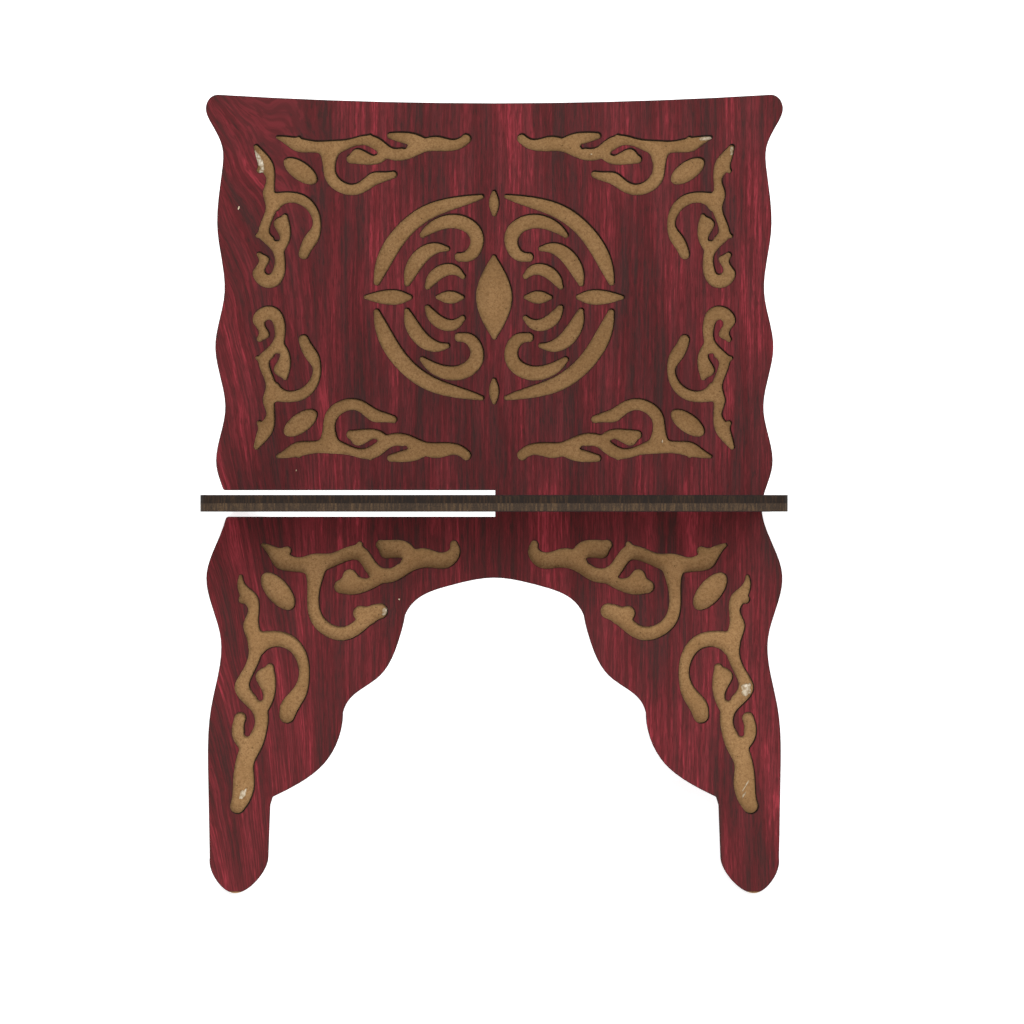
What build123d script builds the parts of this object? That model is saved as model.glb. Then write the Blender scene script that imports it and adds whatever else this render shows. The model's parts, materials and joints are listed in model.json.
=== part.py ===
from build123d import *
import math
import os

# A book stand: two equal boards cross-lap through half-width slots and stand as an
# X. Each board is two glued fibreboard sheets, the upper one fret-cut, with a
# wood-grain film on both outer faces.
#
# Board coordinates: U across the board, V up the board with 0 at the slot's
# centre, W through the thickness with + on the decorated side.

# ---- driving dimensions, mm ----
BOARD_THICK = 6.0
FILM_THICK = 0.3
SHEET_THICK = BOARD_THICK / 2 - FILM_THICK
FOOT_BOTTOM = 141.5  # slot centre down to the lowest point of the feet
SLOT_HIGH = 9.6
SLOT_PAST_CENTRE = 0.3  # each slot runs this far past the centre line
SLOT_CORNER = 1.2  # rounding where the slot meets the board's edge
FILM_SHORT = 0.5  # the films stop this far above the feet's lowest point
LEAN_DEG = 45.0  # each board's lean from vertical

# half-widths of the silhouette, from the ear down to the foot, (U, V)
SIDE = [
    (104.8, 144.0), (102.5, 137.4), (98.8, 129.0), (99.0, 120.5), (100.6, 99.0),
    (98.1, 76.0), (101.4, 57.0), (97.8, 34.0), (101.0, 13.5),
]
SIDE_NOTCH = (97.2, -0.4)
SIDE_LOW = [(104.6, -26.0), (99.5, -48.5), (102.9, -74.0), (103.9, -102.0)]
TOP_MIDDLE = (0.0, 145.4)
EAR_TOP = (100.0, 148.5)
EAR_ROUND = (103.5, 147.1)
FOOT_OUTER = (103.4, -128.5)
FOOT_ROUND = (101.2, -136.6)
FOOT_TIP = (94.9, -FOOT_BOTTOM)
FOOT_HEEL = (86.6, -137.3)
FOOT_INNER = (82.1, -128.5)
LEG_INNER = (81.4, -109.5)
LEG_CORNER = (80.5, -106.6)
ARCH_LOW = [(71.4, -101.9), (61.4, -94.0), (56.0, -83.5)]
ARCH_STEP = (55.0, -76.0)
ARCH_STEP_ROUND = (52.7, -71.2)
ARCH_MID = [(41.8, -62.8), (34.8, -50.0)]
ARCH_SHOULDER = (32.4, -40.5)
ARCH_SHOULDER_ROUND = (28.6, -35.2)
ARCH_TOP = [(16.1, -29.8)]
ARCH_CROWN = (0.0, -27.0)

# ---- fret ornament strokes: (U, V, half width) along each stroke ----
CUT_WIDER = 0.3  # every stroke is cut this much wider on each side
# Upper corner groups, drawn for the top right corner.
UPPER_MIRROR_V = 75.1  # the lower pair mirrors the upper pair about this V
UPPER_ACROSS = [
    [(78.6, 133.1, 0.4), (75.2, 132.0, 1.4), (71.8, 130.6, 2.3), (65.0, 129.7, 1.9),
     (58.6, 129.4, 2.4), (52.5, 130.9, 1.4), (46.4, 132.1, 1.7), (41.6, 130.0, 2.1),
     (37.4, 127.2, 2.0), (30.5, 127.9, 2.1), (25.0, 130.3, 2.2), (20.0, 130.8, 2.5),
     (14.4, 130.4, 1.8), (10.2, 132.6, 1.6)],
    [(72.4, 131.2, 1.6), (71.0, 132.6, 0.7)],
    [(59.9, 127.8, 3.5), (59.9, 124.6, 2.3), (59.2, 118.6, 2.0), (55.2, 114.9, 1.9),
     (51.0, 114.1, 1.8), (46.8, 115.8, 1.9), (43.4, 118.2, 2.1), (39.6, 118.9, 1.5),
     (36.6, 119.6, 1.1)],
    [(40.0, 127.5, 1.9), (43.2, 125.0, 1.5), (48.0, 126.0, 2.5), (52.0, 125.2, 1.4)],
    [(26.5, 131.0, 2.2), (30.2, 132.5, 2.1), (34.0, 133.2, 1.7), (37.6, 133.7, 1.0)],
    [(46.2, 132.2, 1.6), (45.0, 133.4, 0.7)],
]
UPPER_DOWN = [
    [(86.4, 129.6, 0.7), (84.4, 126.0, 1.9), (82.6, 122.6, 2.3), (81.2, 118.0, 1.3),
     (81.9, 112.9, 1.9), (81.0, 108.0, 1.7), (82.9, 102.0, 1.5), (83.4, 97.6, 1.8),
     (79.6, 94.0, 1.9), (77.9, 90.0, 1.6), (78.0, 85.0, 1.9), (79.9, 81.4, 2.2),
     (83.6, 81.3, 2.2), (85.4, 84.6, 1.9), (83.8, 87.4, 1.5), (85.2, 90.4, 0.8)],
    [(84.0, 122.4, 1.7), (85.3, 121.0, 0.7)],
    [(79.6, 109.6, 3.1), (75.8, 111.2, 1.9), (69.0, 110.0, 1.7), (65.2, 105.6, 1.4),
     (64.4, 100.8, 1.3), (66.0, 96.8, 2.1), (68.2, 93.2, 1.9), (69.2, 90.6, 1.6)],
    [(78.2, 93.0, 1.8), (76.0, 96.4, 1.6), (76.8, 100.2, 2.6), (75.9, 104.4, 0.7)],
    [(83.6, 97.8, 1.6), (86.0, 97.3, 0.5)],
]
# round film ends left standing inside the cut-outs, as (U, V, radius)
UPPER_ACROSS_CURLS = [(43.7, 127.6, 0.9), (32.4, 129.9, 0.8)]
UPPER_DOWN_CURLS = [(79.0, 96.5, 0.9), (82.2, 84.6, 1.0)]
UPPER_OVAL = (70.3, 120.9, 6.9, 3.2, 35.0)  # centre U, V, half length, half width, tilt
# Leg groups, drawn for the right leg.
LEG_ACROSS = [
    [(84.0, -15.1, 0.4), (80.8, -17.2, 1.7), (77.8, -20.2, 3.0), (71.6, -22.2, 2.3),
     (65.4, -21.8, 3.2), (59.0, -20.6, 2.2), (54.0, -18.6, 2.1), (48.9, -18.0, 2.4),
     (45.2, -22.4, 2.2), (41.2, -26.0, 2.4), (36.0, -25.6, 2.2), (30.4, -21.4, 2.9),
     (24.0, -19.8, 3.1), (17.6, -20.6, 2.6), (14.3, -17.6, 1.9), (14.6, -14.9, 1.2)],
    [(78.4, -19.0, 2.2), (75.2, -17.2, 1.3)],
    [(50.0, -17.8, 1.8), (48.8, -14.9, 0.8)],
    [(65.2, -23.2, 4.1), (65.2, -27.6, 2.6), (65.8, -35.4, 1.9), (64.2, -42.2, 2.1),
     (60.2, -46.0, 2.1), (54.8, -47.3, 2.2), (49.6, -45.0, 2.2), (45.8, -41.2, 2.6),
     (41.4, -39.1, 2.5)],
    [(45.4, -41.0, 2.8), (48.6, -39.9, 2.4)],
    [(41.6, -26.6, 2.3), (46.6, -29.5, 2.1), (51.2, -29.6, 3.2), (55.8, -30.2, 2.1)],
    [(50.6, -29.4, 2.6), (52.4, -26.6, 2.4)],
    [(30.4, -19.4, 2.6), (33.6, -16.6, 2.9), (38.2, -16.6, 3.1), (41.2, -15.0, 1.5)],
]
LEG_DOWN = [
    [(92.0, -26.6, 0.5), (91.0, -31.4, 1.7), (88.8, -34.2, 2.4), (87.3, -38.4, 1.8),
     (88.3, -43.4, 2.5), (87.0, -49.2, 2.5), (87.0, -55.4, 2.0), (89.6, -61.6, 1.8),
     (91.6, -66.8, 2.5), (88.6, -71.4, 2.2), (84.9, -75.8, 2.3), (84.9, -82.0, 2.2),
     (87.8, -88.0, 3.2), (90.5, -94.0, 3.1), (90.9, -101.0, 3.7), (91.7, -106.6, 3.2),
     (93.2, -110.0, 2.5)],
    [(89.8, -34.0, 2.0), (91.3, -34.8, 1.3)],
    [(85.4, -51.0, 3.8), (81.4, -49.4, 2.8), (74.0, -50.6, 2.3), (69.8, -56.2, 1.9),
     (69.0, -62.8, 1.7), (70.9, -69.0, 2.5), (73.8, -73.0, 3.0), (75.2, -77.0, 2.6)],
    [(84.4, -74.2, 2.3), (81.8, -69.4, 1.9), (82.8, -64.4, 3.3), (81.4, -59.6, 1.2)],
    [(89.0, -88.0, 2.8), (92.6, -84.4, 2.2), (92.2, -78.0, 1.9)],
]
LEG_ACROSS_CURLS = [(47.0, -25.9, 1.1), (34.9, -21.0, 1.0)]
LEG_DOWN_CURLS = [(85.0, -70.6, 1.1), (89.7, -83.6, 1.1)]
LEG_OVAL = (78.5, -31.9, 8.0, 3.9, 49.0)
# Central arabesque of the upper panel, right half; strokes on U = 0 close on themselves.
MEDALLION_MIDDLE_V = 75.0
MEDALLION = [
    [(4.5, 36.6, 0.6), (14.0, 34.4, 1.9), (24.0, 31.0, 2.5), (33.0, 24.0, 2.7),
     (39.6, 14.0, 2.6), (42.6, 5.4, 0.9)],
    [(26.0, 22.6, 0.8), (19.6, 26.8, 2.1), (11.8, 27.2, 2.4), (6.4, 22.4, 2.3),
     (7.6, 16.4, 2.0), (12.6, 14.6, 1.5)],
    [(17.0, 17.6, 0.7), (23.0, 17.4, 2.1), (28.6, 12.4, 2.5), (31.6, 5.0, 0.8)],
    [(11.4, 7.6, 0.8), (16.2, 10.2, 1.9), (21.0, 8.2, 2.0), (24.2, 3.8, 0.8)],
]
MEDALLION_SIDE = [
    [(30.6, 0.0, 0.7), (36.0, 0.0, 2.5), (41.6, 0.0, 2.0), (46.6, 0.0, 0.5)],
    [(11.6, 0.0, 0.6), (15.6, 0.0, 2.1), (20.4, 0.0, 0.6)],
]
MEDALLION_STEM = [
    [(0.0, 38.2, 0.5), (0.0, 34.6, 1.6), (0.0, 30.2, 0.6)],
    [(0.0, 14.6, 0.6), (0.0, 8.4, 4.2), (0.0, 0.0, 6.4), (0.0, -8.4, 4.2), (0.0, -14.6, 0.6)],
    [(0.0, -38.2, 0.5), (0.0, -34.6, 1.6), (0.0, -30.2, 0.6)],
]


def mirrored(points):
    """The same points on the other side of the board's centre line."""
    return [(-u, v) for u, v in reversed(points)]


def half_outline():
    """Curves of the right half, from the ear to the arch's shoulder."""
    return [
        Spline(EAR_TOP, EAR_ROUND, *SIDE, SIDE_NOTCH, *SIDE_LOW, FOOT_OUTER),
        Spline(FOOT_OUTER, FOOT_ROUND, FOOT_TIP, FOOT_HEEL, FOOT_INNER),
        Line(FOOT_INNER, LEG_INNER),
        Line(LEG_INNER, LEG_CORNER),
        Spline(LEG_CORNER, *ARCH_LOW, ARCH_STEP),
        Spline(ARCH_STEP, ARCH_STEP_ROUND, *ARCH_MID, ARCH_SHOULDER),
    ]


def stroke(points):
    """One brush stroke: a smooth band of varying half width with round ends."""
    count = len(points)
    left, right = [], []
    for i, (u, v, half_drawn) in enumerate(points):
        half = half_drawn + CUT_WIDER
        before, after = points[max(i - 1, 0)], points[min(i + 1, count - 1)]
        du, dv = after[0] - before[0], after[1] - before[1]
        length = math.hypot(du, dv)
        nu, nv = -dv / length, du / length
        left.append((u + nu * half, v + nv * half))
        right.append((u - nu * half, v - nv * half))

    def cap(at, inner, start, finish):
        du, dv = at[0] - inner[0], at[1] - inner[1]
        length = math.hypot(du, dv)
        reach = at[2] + CUT_WIDER
        tip = (at[0] + du / length * reach, at[1] + dv / length * reach)
        return ThreePointArc(start, tip, finish)

    if count > 2:
        sides = [Spline(*left), Spline(*reversed(right))]
    else:
        sides = [Line(*left), Line(*reversed(right))]
    edges = [
        sides[0],
        cap(points[-1], points[-2], left[-1], right[-1]),
        sides[1],
        cap(points[0], points[1], right[0], left[0]),
    ]
    return make_face(edges)


def oval(u, v, half_length, half_width, tilt):
    shape = Ellipse(half_length + CUT_WIDER, half_width + CUT_WIDER)
    return Pos(u, v) * Rot(0, 0, tilt) * shape


def joined(strokes, curls):
    """The strokes of one cut-out, joined into one flat shape, less its round film ends."""
    shape = Sketch() + stroke(strokes[0])
    for points in strokes[1:]:
        shape += stroke(points)
    for u, v, radius in curls:
        shape -= Pos(u, v) * Circle(radius)
    return shape


def fret_shapes():
    """Every cut-out of the decorated sheet."""
    corner = [
        joined(UPPER_ACROSS, UPPER_ACROSS_CURLS),
        joined(UPPER_DOWN, UPPER_DOWN_CURLS),
        oval(*UPPER_OVAL),
    ]
    low_plane = Plane(origin=(0, UPPER_MIRROR_V, 0), z_dir=(0, 1, 0))
    corner += [mirror(shape, about=low_plane) for shape in corner]
    right = corner + [
        joined(LEG_ACROSS, LEG_ACROSS_CURLS),
        joined(LEG_DOWN, LEG_DOWN_CURLS),
        oval(*LEG_OVAL),
    ]
    centre = Pos(0, MEDALLION_MIDDLE_V)
    level = Plane(origin=(0, 0, 0), z_dir=(0, 1, 0))
    leaves = [stroke(points) for points in MEDALLION]
    right += [centre * leaf for leaf in leaves]
    right += [centre * mirror(leaf, about=level) for leaf in leaves]
    right += [centre * stroke(points) for points in MEDALLION_SIDE]
    both = right + [mirror(shape, about=Plane.YZ) for shape in right]
    return both + [centre * stroke(points) for points in MEDALLION_STEM]


def silhouette():
    """The board's outline with its slot, open at the -U edge."""
    right = half_outline()
    left = [mirror(curve, about=Plane.YZ) for curve in right]
    over_arch = [ARCH_SHOULDER, ARCH_SHOULDER_ROUND, *ARCH_TOP]
    arch = Spline(*over_arch, ARCH_CROWN, *mirrored(over_arch))
    top = ThreePointArc(EAR_TOP, TOP_MIDDLE, mirrored([EAR_TOP])[0])
    whole = make_face(right + left + [arch, top])
    reach = 2 * SIDE[0][0]
    slot = Pos(SLOT_PAST_CENTRE - reach / 2, 0) * Rectangle(reach, SLOT_HIGH)
    cut = whole - slot
    mouth = [
        corner
        for corner in cut.vertices()
        if corner.X < -90 and abs(abs(corner.Y) - SLOT_HIGH / 2) < 0.01
    ]
    return fillet(mouth, SLOT_CORNER)


def layer(shape, low, high):
    return Pos(0, 0, low) * extrude(shape, amount=high - low)


def board_layers():
    """The four solids of one board, lying flat in board coordinates."""
    outline = silhouette()
    fretted = outline - fret_shapes()
    high = 2 * FOOT_BOTTOM
    film_ends = Pos(0, FILM_SHORT - FOOT_BOTTOM + high) * Rectangle(3 * high, 2 * high)
    top = SHEET_THICK + FILM_THICK
    return {
        "face_film": layer(fretted & film_ends, SHEET_THICK, top),
        "fret_sheet": layer(fretted, 0, SHEET_THICK),
        "backing_sheet": layer(outline, -SHEET_THICK, 0),
        "rear_film": layer(outline & film_ends, -top, -SHEET_THICK),
    }


lean = math.radians(LEAN_DEG)
# the stand rests on the lower rear edge of each backing sheet
axis_height = FOOT_BOTTOM * math.cos(lean) + SHEET_THICK * math.sin(lean)
# board coordinates to the stand's: U is X, V leans back, + W faces up and forward
board_plane = Plane(
    origin=(0, 0, axis_height),
    x_dir=(1, 0, 0),
    z_dir=(0, -math.sin(lean), math.cos(lean)),
)

os.makedirs("parts", exist_ok=True)
print("crossing axis height", round(axis_height, 3), "mm")
for name, solid in board_layers().items():
    first = board_plane * solid
    second = Rot(0, 0, 180) * first
    for board, shape in (("front_board", first), ("back_board", second)):
        node = f"{board}_{name}"
        export_step(shape, f"parts/{node}.step")
        print(node, round(shape.volume, 1), "mm3", len(shape.solids()), "solid")
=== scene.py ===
"""Looks of the cross-lapped book stand: film, fibreboard, scorched cuts with painted shade in
the cut-outs, studio.
"""

import json
import math
from collections import namedtuple

import bmesh
import bpy
from mathutils import Matrix, Vector, geometry, kdtree, noise


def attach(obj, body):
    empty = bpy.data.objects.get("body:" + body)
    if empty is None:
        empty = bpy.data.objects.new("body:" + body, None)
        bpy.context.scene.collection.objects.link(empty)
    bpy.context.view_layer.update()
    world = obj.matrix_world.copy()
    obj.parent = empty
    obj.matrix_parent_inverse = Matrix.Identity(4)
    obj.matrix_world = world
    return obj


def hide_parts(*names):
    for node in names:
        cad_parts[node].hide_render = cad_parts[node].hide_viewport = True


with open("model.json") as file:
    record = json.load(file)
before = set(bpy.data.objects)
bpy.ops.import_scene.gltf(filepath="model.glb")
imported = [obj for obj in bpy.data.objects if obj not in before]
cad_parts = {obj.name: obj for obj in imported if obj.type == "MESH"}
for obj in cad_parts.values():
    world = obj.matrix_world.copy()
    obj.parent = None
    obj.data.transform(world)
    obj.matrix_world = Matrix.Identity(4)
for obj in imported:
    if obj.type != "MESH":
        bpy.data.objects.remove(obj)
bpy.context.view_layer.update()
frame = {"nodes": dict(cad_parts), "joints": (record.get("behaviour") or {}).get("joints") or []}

# Board coordinates, mm: U across the board, V up it from the slot's centre, W through
# its thickness with + on the decorated side. The back board is the front one turned
# half round about the vertical.
SHEET_THICK = 2.7
FILM_THICK = 0.3
BOARD_TOP = SHEET_THICK + FILM_THICK
ROOT_HALF = math.sqrt(0.5)
AXIS_HEIGHT = frame["joints"][0]["pos_m"][2]
MM = 1000  # millimetres in a metre

# Cut edges, mm
STEP = 0.8  # widest spacing of points along a cut edge
FLAT_WITHIN = 0.01  # how level the points of a flat face are
CROWDED = 0.12  # points nearer than this to the last one kept are dropped
FILM_ROUND = 0.07  # rounding of the film's outer edge
# The beam cut the fret at a slight lean, so the foot of its walls is shifted: in U by
# LEAN_U mm, in V by LEAN_SLOPE for each mm above LEAN_LEVEL_V.
LEAN_U = -0.32
LEAN_SLOPE = -0.0033
LEAN_LEVEL_V = -20.0
CORNER_PASSES = 2  # rounds the sharp corners where fret strokes meet
# Rings of points beside a cut edge, which carry the scorch on the film and the painted
# shade with some scorch on the fibreboard: their distances from it, the least spacing in
# a ring, and how near another edge may come, as a share.
HALO_RINGS = (0.35, 0.8, 1.5, 2.6)
HALO_SPACING = 0.45
HALO_CLEAR = 0.9
EXTRA_MARGIN = 0.15  # inner points nearer than this to the edge band are left out
SMOOTH_ANGLE = math.radians(28)  # sharper edges than this aren't shaded smooth
RED, WALL, PLAIN = 0, 1, 2  # material places of a sheet's faces

# Glue left in the cut-outs and pale chips on the film, mm
Spot = namedtuple("Spot", "u v half_long half_wide turn_degrees")
GLUE_SPOTS = [
    Spot(-86.4, 125.5, 3.4, 1.3, -62),
    Spot(-84.6, 121.6, 1.8, 0.9, 80),
    Spot(77.0, 132.7, 2.6, 0.7, 8),
    Spot(86.2, 127.9, 1.5, 0.7, 85),
    Spot(-39.4, -39.2, 2.0, 1.2, 20),
    Spot(91.6, -67.6, 2.4, 1.8, 70),
    Spot(-91.4, -105.6, 2.2, 0.9, 60),
    Spot(91.3, -102.6, 2.7, 0.25, 58),
    Spot(90.6, -106.0, 1.4, 0.3, 62),
]
CHIP_SPOTS = [
    Spot(-92.8, 107.3, 0.75, 0.35, 70),
    Spot(-34.6, -34.8, 0.4, 0.3, 0),
    Spot(35.2, 126.9, 0.3, 0.25, 0),
    Spot(61.0, 22.5, 0.5, 0.2, 85),
    Spot(-72.0, 12.0, 0.45, 0.18, 80),
]
BACK_GLUE_EVERY = 3  # the back board has only every third smear of glue
GLUE_HIGH, CHIP_HIGH = 0.22, 0.05
BLOB_RINGS, BLOB_SIDES = 6, 40
BLOB_SINK = 0.02  # how far a blob's rim goes into the face under it

# Camera and light: metres in a board's own U, V, W, and watts
CAMERA_AWAY = 8.0
CAMERA_LENS = 774
SENSOR = 36
AIM_U, AIM_V = 0.0064, -0.0031
KEY_PLACE, KEY_SIZE, KEY_POWER = (0.24, 0.18, 1.6), 0.4, 16.5
FILL_PLACE, FILL_SIZE, FILL_POWER = (-0.3, -1.0, 1.3), 0.8, 7
BACK_KEY_PLACE, BACK_KEY_SIZE, BACK_KEY_POWER = (0.45, 0.3, 1.6), 0.5, 13
WORLD_STRENGTH = 0.42
FLOOR_HALF = 15
FLOOR_GREY = 0.8
FLOOR_GLOW = 0.78  # a lit table, so the ground is white with faint shadows


# ---------------------------------------------------------------- board outline
def board_matrix(turned):
    """Board coordinates in metres to the stand's own, for the front or the turned board."""
    flip = -1.0 if turned else 1.0
    across = Vector((flip, 0, 0))
    up = Vector((0, flip * ROOT_HALF, ROOT_HALF))
    out = Vector((0, -flip * ROOT_HALF, ROOT_HALF))
    matrix = Matrix((across, up, out)).transposed().to_4x4()
    matrix.translation = (0, 0, AXIS_HEIGHT)
    return matrix


def cap_loops(node):
    """The closed loops round the node's upper flat face, in board mm, material on the left."""
    mesh = frame["nodes"][node].data
    inverse = board_matrix(False).inverted()
    points = [inverse @ v.co * MM for v in mesh.vertices]
    top = max(p.z for p in points)
    keys = [(round(p.x, 3), round(p.y, 3)) for p in points]
    rim = {}  # edges of the flat face met once, in the order met
    for face in mesh.polygons:
        ring = list(face.vertices)
        if min(points[i].z for i in ring) < top - FLAT_WITHIN:
            continue
        for a, b in zip(ring, ring[1:] + ring[:1]):
            edge = (keys[a], keys[b])
            if edge[0] == edge[1]:
                continue
            back = (edge[1], edge[0])
            if back in rim:
                del rim[back]
            else:
                rim[edge] = True
    onward = dict(rim.keys())
    loops = []
    while onward:
        start = next(iter(onward))
        loop, at = [], start
        while at in onward:
            loop.append(at)
            at = onward.pop(at)
        loops.append(loop)
    return sorted(loops, key=lambda loop: -abs(signed_area(loop)))


def signed_area(loop):
    """The loop's area, positive where it runs anticlockwise."""
    total = 0.0
    for (u0, v0), (u1, v1) in zip(loop, loop[1:] + loop[:1]):
        total += u0 * v1 - u1 * v0
    return total / 2


def resampled(loop):
    """The loop with points at most STEP apart and none crowded."""
    kept = [loop[0]]
    for point in loop[1:]:
        if math.dist(point, kept[-1]) > CROWDED:
            kept.append(point)
    if math.dist(kept[0], kept[-1]) < CROWDED:
        kept.pop()
    result = []
    for a, b in zip(kept, kept[1:] + kept[:1]):
        parts = max(1, math.ceil(math.dist(a, b) / STEP))
        for k in range(parts):
            t = k / parts
            result.append((a[0] + (b[0] - a[0]) * t, a[1] + (b[1] - a[1]) * t))
    return result


def softened(loop):
    """The loop with its sharp corners rounded a little."""
    for _ in range(CORNER_PASSES):
        near = zip(loop[-1:] + loop[:-1], loop, loop[1:] + loop[:1])
        loop = [
            ((a[0] + 2 * b[0] + c[0]) / 4, (a[1] + 2 * b[1] + c[1]) / 4) for a, b, c in near
        ]
    return loop


def inward(loop):
    """A unit direction into the material at each point of the loop."""
    count = len(loop)
    result = []
    for i in range(count):
        before, after = loop[i - 1], loop[(i + 1) % count]
        du, dv = after[0] - before[0], after[1] - before[1]
        length = math.hypot(du, dv) or 1.0
        result.append((-dv / length, du / length))
    return result


def moved_in(loop, amount):
    """The loop moved into the material by amount."""
    return [
        (u + nu * amount, v + nv * amount) for (u, v), (nu, nv) in zip(loop, inward(loop))
    ]


def leaning(loop):
    """The foot of a fret wall under the given upper edge."""
    return [(u + LEAN_U, v + LEAN_SLOPE * (v - LEAN_LEVEL_V)) for u, v in loop]


class EdgeFinder:
    """Finds how far a point lies from the nearest of some loops."""

    def __init__(self, loops):
        points = [point for loop in loops for point in loop]
        self.tree = kdtree.KDTree(len(points))
        for i, (u, v) in enumerate(points):
            self.tree.insert((u, v, 0), i)
        self.tree.balance()

    def distance(self, u, v):
        return self.tree.find((u, v, 0))[2]


def halo_points(loops, finder, side):
    """Points in rings beside the loops, on the material's side (1) or the hole's (-1)."""
    taken = set()
    result = []
    for ring in HALO_RINGS:
        cell = max(HALO_SPACING, ring / 2)
        for loop in loops:
            for u, v in moved_in(loop, side * ring):
                if finder.distance(u, v) < ring * HALO_CLEAR:
                    continue
                key = (round(u / cell), round(v / cell), ring)
                if key in taken:
                    continue
                taken.add(key)
                result.append((u, v))
    return result


def triangulated(loops, extra):
    """Triangles that fill the loops by the even-odd rule, through the extra points too."""
    points, edges = [], []
    for loop in loops:
        base, count = len(points), len(loop)
        points += loop
        edges += [(base + i, base + (i + 1) % count) for i in range(count)]
    points = points + extra
    flat = [Vector(p) for p in points]
    made = geometry.delaunay_2d_cdt(flat, edges, [], 0, 1e-6, True)
    verts, made_edges, faces, edge_sources = made[0], made[1], made[2], made[4]
    walls = set()
    for (a, b), source in zip(made_edges, edge_sources):
        if source:
            walls.add(frozenset((a, b)))
    beside = {}
    for f, ring in enumerate(faces):
        for a, b in zip(ring, ring[1:] + ring[:1]):
            beside.setdefault(frozenset((a, b)), []).append(f)
    inside = [None] * len(faces)
    stack = []
    for edge, near in beside.items():
        if len(near) == 1 and inside[near[0]] is None:
            inside[near[0]] = edge in walls
            stack.append(near[0])
    while stack:
        f = stack.pop()
        ring = faces[f]
        for a, b in zip(ring, ring[1:] + ring[:1]):
            edge = frozenset((a, b))
            for other in beside[edge]:
                if inside[other] is None:
                    inside[other] = inside[f] != (edge in walls)
                    stack.append(other)
    kept = [ring for f, ring in enumerate(faces) if inside[f]]
    return [tuple(v) for v in verts], kept


def finished_mesh(mesh, merge_within):
    """Joins doubled points and shades the mesh smooth."""
    work = bmesh.new()
    work.from_mesh(mesh)
    bmesh.ops.remove_doubles(work, verts=work.verts, dist=merge_within)
    work.to_mesh(mesh)
    work.free()
    mesh.polygons.foreach_set("use_smooth", [True] * len(mesh.polygons))


def on_board(name, mesh, turned):
    """An object of the mesh, which is in board coordinates in metres."""
    piece = bpy.data.objects.new(name, mesh)
    bpy.context.collection.objects.link(piece)
    piece.matrix_world = board_matrix(turned)
    return piece


class SheetMesh:
    """Collects one sheet's vertices, faces and edge distances."""

    def __init__(self):
        self.verts, self.faces, self.places, self.edge_mm = [], [], [], []

    def cap(self, loops, extra, height, up, finder, place):
        """A flat face through the extra points, turned up or down."""
        verts, faces = triangulated(loops, extra)
        base = len(self.verts)
        self.verts += [(u, v, height) for u, v in verts]
        self.edge_mm += [finder.distance(u, v) for u, v in verts]
        for ring in faces:
            turn = signed_area([verts[i] for i in ring]) > 0
            ring = [base + i for i in ring]
            self.faces.append(ring if turn == up else ring[::-1])
            self.places.append(place)

    def strips(self, rings, place):
        """Bands of faces through rings of equal length, listed from the top down."""
        count = len(rings[0][0])
        base = len(self.verts)
        for loop, height in rings:
            self.verts += [(u, v, height) for u, v in loop]
            self.edge_mm += [0.0] * count
        for level in range(len(rings) - 1):
            above, below = base + level * count, base + (level + 1) * count
            for i in range(count):
                j = (i + 1) % count
                self.faces.append([above + i, below + i, below + j, above + j])
                self.places.append(place)

    def made(self, name, materials, turned):
        """The sheet as a Blender object with its edge distances and materials."""
        mesh = bpy.data.meshes.new(name)
        mesh.from_pydata([Vector(v) / MM for v in self.verts], [], self.faces)
        layer = mesh.attributes.new("edge_mm", "FLOAT", "POINT")
        layer.data.foreach_set("value", self.edge_mm)
        for material in materials:
            mesh.materials.append(material)
        mesh.polygons.foreach_set("material_index", self.places)
        finished_mesh(mesh, 2e-6)
        mesh.set_sharp_from_angle(angle=SMOOTH_ANGLE)
        return on_board(name, mesh, turned)


def sheet(loops, low, high, round_low, round_high, finder, extra, places, leans=False):
    """A flat sheet with rounded or sharp cut edges; places are its top, wall and underside."""
    mesh = SheetMesh()
    top = [moved_in(loop, round_high) for loop in loops]
    under = [moved_in(loop, round_low) for loop in loops]
    if leans:
        under = under[:1] + [leaning(loop) for loop in under[1:]]
    margin = max(round_high, round_low) + EXTRA_MARGIN
    extra = [p for p in extra if finder.distance(*p) > margin]
    mesh.cap(top, extra, high, True, finder, places[0])
    mesh.cap(under, [], low, False, finder, places[2])
    for k, loop in enumerate(loops):
        rings = [(top[k], high)]
        if round_high:
            bevel = round_high * 0.3
            rings += [(moved_in(loop, bevel), high - bevel), (loop, high - round_high)]
        if round_low:
            rings += [(loop, low + round_low)]
        rings += [(under[k], low)]
        mesh.strips(rings, places[1])
    return mesh


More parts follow.
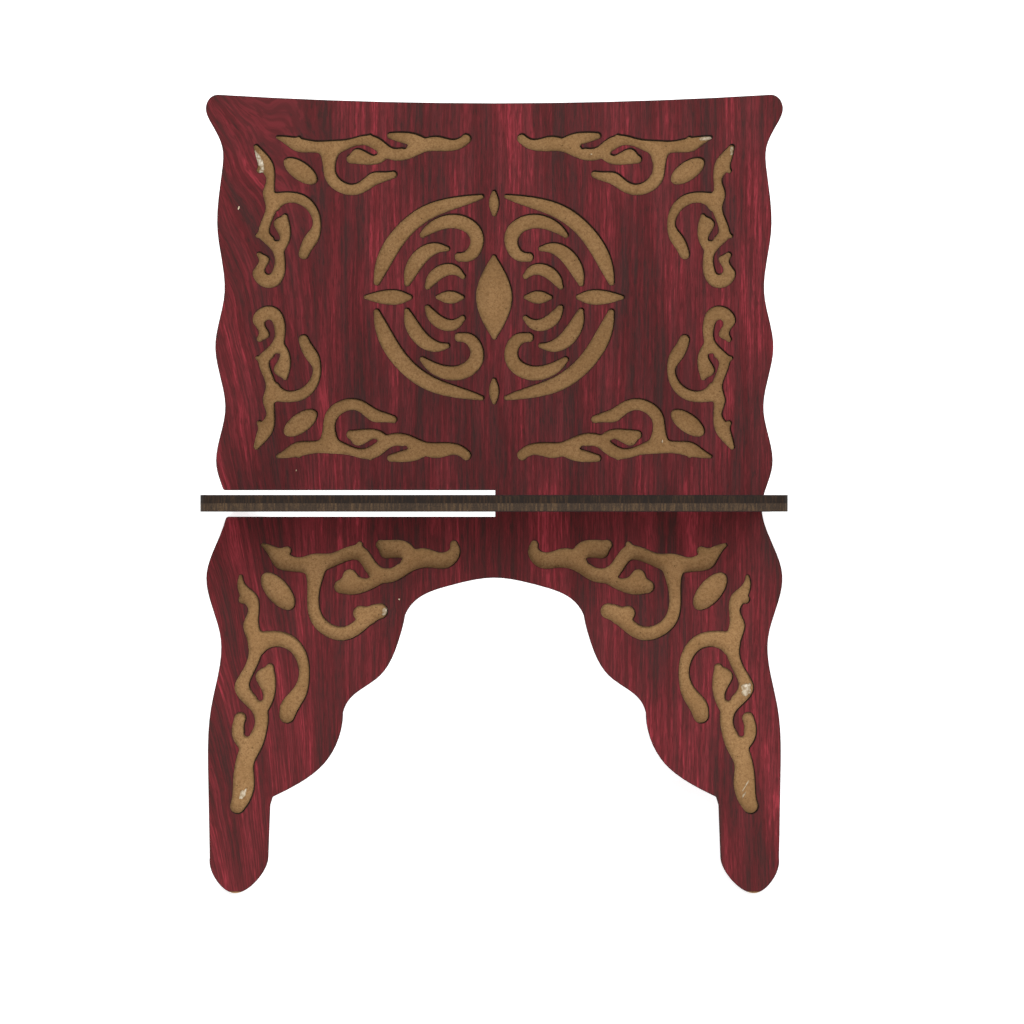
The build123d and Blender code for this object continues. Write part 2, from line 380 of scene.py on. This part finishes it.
# ---------------------------------------------------------------- materials
class Shader:
    """Short ways to add and join the nodes of one material."""

    def __init__(self, name):
        self.material = bpy.data.materials.new(name)
        self.material.use_nodes = True
        self.tree = self.material.node_tree
        self.surface = self.tree.nodes["Principled BSDF"]

    def node(self, kind, sockets=None, **settings):
        """A new node with its settings and inputs given."""
        made = self.tree.nodes.new(kind)
        for key, value in settings.items():
            setattr(made, key, value)
        for key, value in (sockets or {}).items():
            self.put(made.inputs[key], value)
        return made

    def put(self, socket, value):
        """Links an output to the socket, or sets its plain value."""
        if isinstance(value, bpy.types.NodeSocket):
            self.tree.links.new(value, socket)
        else:
            socket.default_value = value

    def place(self, scale, shift=(0, 0, 0)):
        """Object coordinates, stretched by scale."""
        where = self.node("ShaderNodeTexCoord").outputs["Object"]
        sockets = {"Vector": where, "Scale": scale, "Location": shift}
        return self.node("ShaderNodeMapping", sockets).outputs[0]

    def noise(self, vector, scale=1.0, detail=3.0, rough=0.55, distort=0.0):
        sockets = {
            "Vector": vector, "Scale": scale, "Detail": detail,
            "Roughness": rough, "Distortion": distort,
        }
        return self.node("ShaderNodeTexNoise", sockets).outputs["Fac"]

    def ramp(self, factor, start, end):
        """A smooth change of value from start to end, each a (position, value)."""
        sockets = {
            "Value": factor, "From Min": start[0], "From Max": end[0],
            "To Min": start[1], "To Max": end[1],
        }
        made = self.node("ShaderNodeMapRange", sockets, interpolation_type="SMOOTHSTEP")
        return made.outputs["Result"]

    def math(self, operation, a, b):
        return self.node("ShaderNodeMath", {0: a, 1: b}, operation=operation).outputs[0]

    def mix(self, factor, a, b):
        """Colour a where factor is 0 and b where it is 1."""
        made = self.node("ShaderNodeMix", data_type="RGBA")
        self.put(made.inputs["Factor"], factor)
        self.put(made.inputs["A"], a)
        self.put(made.inputs["B"], b)
        return made.outputs["Result"]

    def bump(self, height, strength, distance):
        sockets = {"Height": height, "Strength": strength, "Distance": distance}
        return self.node("ShaderNodeBump", sockets).outputs["Normal"]

    def attribute(self, name):
        return self.node("ShaderNodeAttribute", attribute_name=name).outputs["Fac"]

    def finish(self, colour, roughness, normal, specular):
        """The finished material."""
        self.put(self.surface.inputs["Base Color"], colour)
        self.put(self.surface.inputs["Roughness"], roughness)
        if normal is not None:
            self.put(self.surface.inputs["Normal"], normal)
        self.surface.inputs["Specular IOR Level"].default_value = specular
        return self.material


def srgb(red, green, blue):
    """A colour given as 0 to 255 screen values, as the shader wants it."""
    def linear(value):
        value /= 255
        return value / 12.92 if value <= 0.04045 else ((value + 0.055) / 1.055) ** 2.4

    return (linear(red), linear(green), linear(blue), 1.0)


def rosewood_film(name, seed):
    """Printed wood-grain film: red and near-black streaks that run up the board."""
    s = Shader(name)
    where = s.node("ShaderNodeTexCoord").outputs["Object"]
    axes = s.node("ShaderNodeSeparateXYZ", {"Vector": where})
    across, up = axes.outputs["X"], axes.outputs["Y"]
    # beside one edge the grain runs aslant, and spreads where it joins the straight grain
    aslant = s.ramp(across, (-0.106, 1.0), (-0.050, 0.0))
    reach = s.math("MULTIPLY", s.math("ADD", up, -0.03), 0.30)
    wander = s.math("ADD", s.noise(s.place((14, 9, 1), (seed * 0.37, seed * 0.71, 0))), -0.5)
    loose = s.math("ADD", s.math("MULTIPLY", aslant, 0.018), 0.004)
    shift = s.math("ADD", s.math("MULTIPLY", aslant, reach), s.math("MULTIPLY", wander, loose))
    drift = s.node("ShaderNodeCombineXYZ", {"X": shift}).outputs[0]
    bent = s.node("ShaderNodeVectorMath", {0: where, 1: drift}, operation="ADD").outputs[0]

    def grain(scale, detail, rough, move, low, high):
        """Noise drawn out along the board, as 0 below low and 1 above high."""
        sockets = {"Vector": bent, "Scale": scale, "Location": (move + seed, seed * 1.7, 0)}
        placed = s.node("ShaderNodeMapping", sockets).outputs[0]
        return s.ramp(s.noise(placed, 1.0, detail, rough), (low, 0.0), (high, 1.0))

    bands = grain((58, 11, 1), 2.0, 0.5, 0.0, 0.36, 0.62)
    streaks = grain((290, 26, 1), 3.0, 0.6, 3.1, 0.36, 0.66)
    lines = grain((760, 20, 1), 2.0, 0.5, 9.2, 0.40, 0.60)
    fibres = grain((2000, 150, 1), 2.0, 0.6, 7.7, 0.36, 0.66)
    pores = grain((2500, 260, 1), 2.0, 0.5, 5.3, 0.54, 0.68)
    tone = s.math("MULTIPLY", bands, 0.36)
    for layer, share in ((streaks, 0.24), (lines, 0.28), (fibres, 0.24), (pores, -0.22)):
        tone = s.math("ADD", tone, s.math("MULTIPLY", layer, share))
    colour = s.mix(s.ramp(tone, (0.10, 0.0), (0.46, 1.0)), srgb(56, 24, 22), srgb(80, 24, 26))
    colour = s.mix(s.ramp(tone, (0.46, 0.0), (0.80, 1.0)), colour, srgb(103, 31, 36))
    colour = s.mix(s.ramp(tone, (0.78, 0.0), (1.04, 1.0)), colour, srgb(138, 44, 53))
    edge = s.attribute("edge_mm")
    colour = s.mix(s.ramp(edge, (0.0, 0.35), (0.5, 0.0)), colour, srgb(30, 20, 15))
    grainy = s.math("ADD", s.math("MULTIPLY", fibres, 0.4), s.math("MULTIPLY", pores, -0.8))
    normal = s.bump(grainy, 0.25, 0.00006)
    rough = s.math("ADD", s.math("MULTIPLY", streaks, 0.08), 0.52)
    return s.finish(colour, rough, normal, 0.10)


def fibreboard_with_painted_shade(name, seed):
    """Plain fibreboard face: tan felted fibres, dark specks, and painted shade with some scorch
    beside the cuts.
    """
    s = Shader(name)
    where = s.place((1000, 1000, 1000), (seed * 3.1, seed * 5.7, 0))
    cloud = s.noise(where, 0.06, 3.0, 0.6)
    fibres = s.noise(where, 1.1, 4.0, 0.7, 1.0)
    long_fibres = s.noise(s.place((900, 1500, 900), (seed, 0, 0)), 1.0, 3.0, 0.6, 1.6)
    cloudy = s.ramp(cloud, (0.35, 0.0), (0.65, 1.0))
    colour = s.mix(cloudy, srgb(150, 114, 73), srgb(162, 125, 83))
    colour = s.mix(s.ramp(fibres, (0.36, 0.75), (0.60, 0.0)), colour, srgb(122, 89, 54))
    colour = s.mix(s.ramp(long_fibres, (0.52, 0.0), (0.72, 0.35)), colour, srgb(182, 147, 103))
    cells = s.node("ShaderNodeTexVoronoi", {"Vector": where, "Scale": 0.34})
    ragged = s.math("ADD", cells.outputs["Distance"], s.math("MULTIPLY", fibres, 0.10))
    specks = s.ramp(ragged, (0.10, 0.75), (0.16, 0.0))
    colour = s.mix(specks, colour, srgb(78, 54, 30))
    # painted shade with some scorch: the tan darkens towards the foot of the cut-out walls, with
    # a thin dark line right at the foot
    edge = s.attribute("edge_mm")
    patchy = s.math("MULTIPLY", s.noise(where, 0.35, 2.0, 0.5), -0.7)
    near = s.math("ADD", edge, patchy)
    colour = s.mix(s.ramp(near, (-0.3, 0.40), (0.9, 0.0)), colour, srgb(108, 82, 50))
    colour = s.mix(s.ramp(near, (-0.3, 0.6), (0.12, 0.0)), colour, srgb(48, 34, 20))
    normal = s.bump(fibres, 0.5, 0.00012)
    return s.finish(colour, 0.86, normal, 0.2)


def scorched_wall(name, dark, pale, pale_share, seed):
    """A beam-cut wall of fibreboard: soot with paler fibre showing in lines up the cut."""
    s = Shader(name)
    where = s.place((1000, 1000, 1000), (seed * 2.3, 0, 0))
    lines = s.noise(s.place((1500, 1500, 160), (seed, 0, 0)), 1.0, 3.0, 0.6)
    patches = s.noise(where, 0.09, 3.0, 0.6)
    fine = s.noise(where, 2.2, 2.0, 0.6)
    share = s.math("MULTIPLY", s.ramp(lines, (0.42, 0.0), (0.68, 1.0)), patches)
    colour = s.mix(s.math("MULTIPLY", share, pale_share), dark, pale)
    colour = s.mix(s.ramp(fine, (0.35, 0.4), (0.6, 0.0)), colour, srgb(20, 14, 10))
    normal = s.bump(lines, 0.4, 0.0001)
    return s.finish(colour, 0.8, normal, 0.2)


def dried_glue(name):
    """Wiped wood glue: a thin milky film, glossier where it is thick."""
    s = Shader(name)
    where = s.place((1000, 1000, 1000))
    cloud = s.noise(where, 0.7, 3.0, 0.6)
    milky = s.ramp(cloud, (0.35, 0.0), (0.62, 1.0))
    colour = s.mix(milky, srgb(152, 126, 90), srgb(198, 182, 154))
    normal = s.bump(cloud, 0.5, 0.0002)
    return s.finish(colour, s.ramp(cloud, (0.3, 0.55), (0.7, 0.3)), normal, 0.5)


# ---------------------------------------------------------------- the boards
def cut_loops(node):
    """The node's outline as it is, then its cut-outs with their sharp corners rounded."""
    loops = [resampled(loop) for loop in cap_loops(node)]
    return loops[:1] + [softened(loop) for loop in loops[1:]]


fret_loops = cut_loops("front_board_fret_sheet")
outline, holes = fret_loops[:1], fret_loops[1:]
film_loops = cut_loops("front_board_face_film")
rear_outline = cut_loops("front_board_rear_film")

film_edges = EdgeFinder(film_loops)
hole_edges = EdgeFinder(holes)
outline_edges = EdgeFinder(outline)
rear_edges = EdgeFinder(rear_outline)
film_halo = halo_points(film_loops, film_edges, 1)
rear_halo = halo_points(rear_outline, rear_edges, 1)
hole_halo = halo_points(holes, hole_edges, -1)
hole_rim = [point for loop in holes for point in loop]

FILM_WALL = scorched_wall("scorched_film_edge", srgb(30, 18, 16), srgb(84, 34, 32), 0.6, 1)
FRET_WALL = scorched_wall("scorched_fret_wall", srgb(28, 19, 13), srgb(84, 58, 34), 0.6, 2)
OUTER_WALL = scorched_wall("scorched_outer_wall", srgb(54, 42, 32), srgb(104, 80, 54), 1.0, 3)


def make_board(body, turned, seed):
    """The four sheets of one board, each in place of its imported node."""
    film = rosewood_film(f"{body}_wood_grain_film", seed)
    tan = fibreboard_with_painted_shade(f"{body}_fibreboard_with_painted_shade", seed)
    pieces = {
        "face_film": (
            sheet(film_loops, SHEET_THICK, BOARD_TOP, 0, FILM_ROUND, film_edges, film_halo,
                  (RED, WALL, PLAIN)),
            (film, FILM_WALL, tan), "wood_grain_film",
        ),
        "fret_sheet": (
            sheet(fret_loops, 0, SHEET_THICK, 0, 0, hole_edges, [], (PLAIN, WALL, PLAIN),
                  leans=True),
            (film, FRET_WALL, tan), "fibreboard",
        ),
        "backing_sheet": (
            sheet(outline, -SHEET_THICK, 0, 0, 0, hole_edges, hole_halo + hole_rim,
                  (PLAIN, WALL, PLAIN)),
            (film, OUTER_WALL, tan), "fibreboard",
        ),
        "rear_film": (
            sheet(rear_outline, -BOARD_TOP, -SHEET_THICK, FILM_ROUND, 0, rear_edges, rear_halo,
                  (PLAIN, WALL, RED)),
            (film, FILM_WALL, tan), "wood_grain_film",
        ),
    }
    for layer, (shape, materials, slot_name) in pieces.items():
        node = f"{body}_{layer}"
        piece = shape.made(f"{node}_look", materials, turned)
        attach(piece, body)
        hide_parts(node)


make_board("front_board", False, 1)
make_board("back_board", True, 4)

def blob(name, spot, base, high, seed):
    """A low uneven blob on a board's face, as a mesh."""
    angle = math.radians(spot.turn_degrees)
    verts, faces = [], []
    for ring in range(BLOB_RINGS + 1):
        t = ring / BLOB_RINGS
        for k in range(BLOB_SIDES):
            a = 2 * math.pi * k / BLOB_SIDES
            where = Vector((math.cos(a) * 1.3 + seed, math.sin(a) * 1.3, seed * 0.7))
            reach = t * (1 + 0.55 * noise.noise(where) + 0.25 * noise.noise(where * 3.1))
            x = math.cos(a) * spot.half_long * reach
            y = math.sin(a) * spot.half_wide * reach
            lump = 0.35 * noise.noise(Vector((x * 1.5 + seed, y * 1.5, 0)))
            u = spot.u + x * math.cos(angle) - y * math.sin(angle)
            v = spot.v + x * math.sin(angle) + y * math.cos(angle)
            w = base + high * ((1 - t * t) * (1 + lump)) - BLOB_SINK * t
            verts.append((u / MM, v / MM, w / MM))
    for ring in range(BLOB_RINGS):
        for k in range(BLOB_SIDES):
            a, b = ring * BLOB_SIDES + k, ring * BLOB_SIDES + (k + 1) % BLOB_SIDES
            faces.append((a, a + BLOB_SIDES, b + BLOB_SIDES, b))
    rim = BLOB_RINGS * BLOB_SIDES
    faces.append(tuple(rim + k for k in reversed(range(BLOB_SIDES))))
    mesh = bpy.data.meshes.new(name)
    mesh.from_pydata(verts, [], faces)
    finished_mesh(mesh, 1e-7)
    return mesh


def add_blobs(body, turned, kind, spots):
    """The glue smears or film chips of one board; the back board's are mirrored."""
    flip = -1 if turned else 1
    for i, spot in enumerate(spots):
        if kind == "glue_smear" and turned and i % BACK_GLUE_EVERY:
            continue
        placed = spot._replace(u=flip * spot.u, turn_degrees=flip * spot.turn_degrees)
        name = f"{body}_{kind}_{i + 1}"
        if kind == "glue_smear":
            mesh = blob(name, placed, 0.0, GLUE_HIGH, i * 2.7 + flip)
        else:
            mesh = blob(name, placed, BOARD_TOP, CHIP_HIGH, i * 1.9 + flip)
        mesh.materials.append(GLUE)
        piece = on_board(name, mesh, turned)
        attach(piece, body)


GLUE = dried_glue("dried_glue")
for body, turned in (("front_board", False), ("back_board", True)):
    add_blobs(body, turned, "glue_smear", GLUE_SPOTS)
    add_blobs(body, turned, "film_chip", CHIP_SPOTS)

# ---------------------------------------------------------------- camera, light, floor
def look_from(obj, place, target):
    """Puts the object at place, facing target."""
    obj.location = place
    obj.rotation_euler = (Vector(target) - Vector(place)).to_track_quat("-Z", "Y").to_euler()


front, back = board_matrix(False), board_matrix(True)
aim = front @ Vector((AIM_U, AIM_V, 0))
camera_data = bpy.data.cameras.new("camera")
camera_data.lens = CAMERA_LENS
camera_data.sensor_width = SENSOR
camera_data.clip_end = 50
camera = bpy.data.objects.new("camera", camera_data)
bpy.context.collection.objects.link(camera)
look_from(camera, front @ Vector((AIM_U, AIM_V, CAMERA_AWAY)), aim)
bpy.context.scene.camera = camera


def area_light(name, place, target, size, power):
    """A square soft light that faces target."""
    data = bpy.data.lights.new(name, "AREA")
    data.size = size
    data.energy = power
    light = bpy.data.objects.new(name, data)
    bpy.context.collection.objects.link(light)
    look_from(light, place, target)


area_light("key_light", front @ Vector(KEY_PLACE), aim, KEY_SIZE, KEY_POWER)
area_light("low_fill_light", front @ Vector(FILL_PLACE), aim, FILL_SIZE, FILL_POWER)
area_light("back_key_light", back @ Vector(BACK_KEY_PLACE), aim, BACK_KEY_SIZE, BACK_KEY_POWER)

world = bpy.data.worlds.new("studio")
bpy.context.scene.world = world
world.use_nodes = True
background = world.node_tree.nodes["Background"]
background.inputs["Color"].default_value = (1, 1, 1, 1)
background.inputs["Strength"].default_value = WORLD_STRENGTH
bpy.context.scene.view_settings.view_transform = "Standard"

floor_mesh = bpy.data.meshes.new("floor")
corners = [(-FLOOR_HALF, -FLOOR_HALF, 0), (FLOOR_HALF, -FLOOR_HALF, 0)]
corners += [(FLOOR_HALF, FLOOR_HALF, 0), (-FLOOR_HALF, FLOOR_HALF, 0)]
floor_mesh.from_pydata(corners, [], [(0, 1, 2, 3)])
floor = bpy.data.objects.new("floor", floor_mesh)
bpy.context.collection.objects.link(floor)
paper = Shader("pale_floor")
paper.surface.inputs["Emission Color"].default_value = (1, 1, 1, 1)
paper.surface.inputs["Emission Strength"].default_value = FLOOR_GLOW
pale = (FLOOR_GREY, FLOOR_GREY, FLOOR_GREY, 1)
floor_mesh.materials.append(paper.finish(pale, 0.9, None, 0.1))
